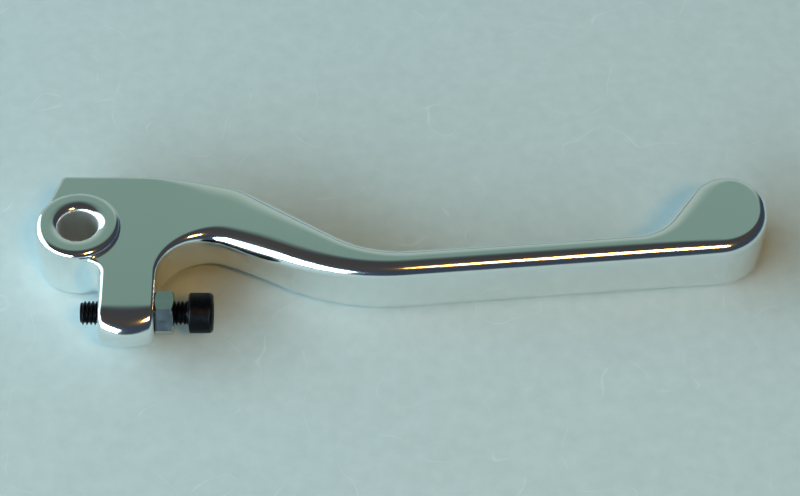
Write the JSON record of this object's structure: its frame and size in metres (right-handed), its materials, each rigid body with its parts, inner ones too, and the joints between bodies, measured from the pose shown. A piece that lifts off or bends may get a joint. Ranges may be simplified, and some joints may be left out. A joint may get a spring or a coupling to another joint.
{
  "type": "brake lever",
  "caption": "Forged front brake lever with a pivot boss, a curved finger blade with a round tip, and an arm that carries a lock-nutted adjuster screw.",
  "frame": {"origin": "centre of the pivot bore at the middle of the boss's thickness", "axes": "+Z along the pivot bore, +X along the blade towards its tip, -Y towards the handlebar"},
  "size_m": [0.1847, 0.0492, 0.0164],
  "materials": {
    "polished_aluminium": "mirror-polished forging",
    "zinc_plated_steel": "bright zinc plating",
    "black_oxide_steel": "black oxide, lightly oiled"
  },
  "bodies": {
    "lever": {"lever_body": "polished_aluminium", "lock_nut": "zinc_plated_steel"},
    "adjuster": {"adjuster_screw": "black_oxide_steel"}
  },
  "joints": [
    {"name": "adjuster_travel", "type": "slide", "parent": "lever", "child": "adjuster", "axis": [1, 0, 0], "range_m": [-0.0035, 0.0045]}
  ]
}
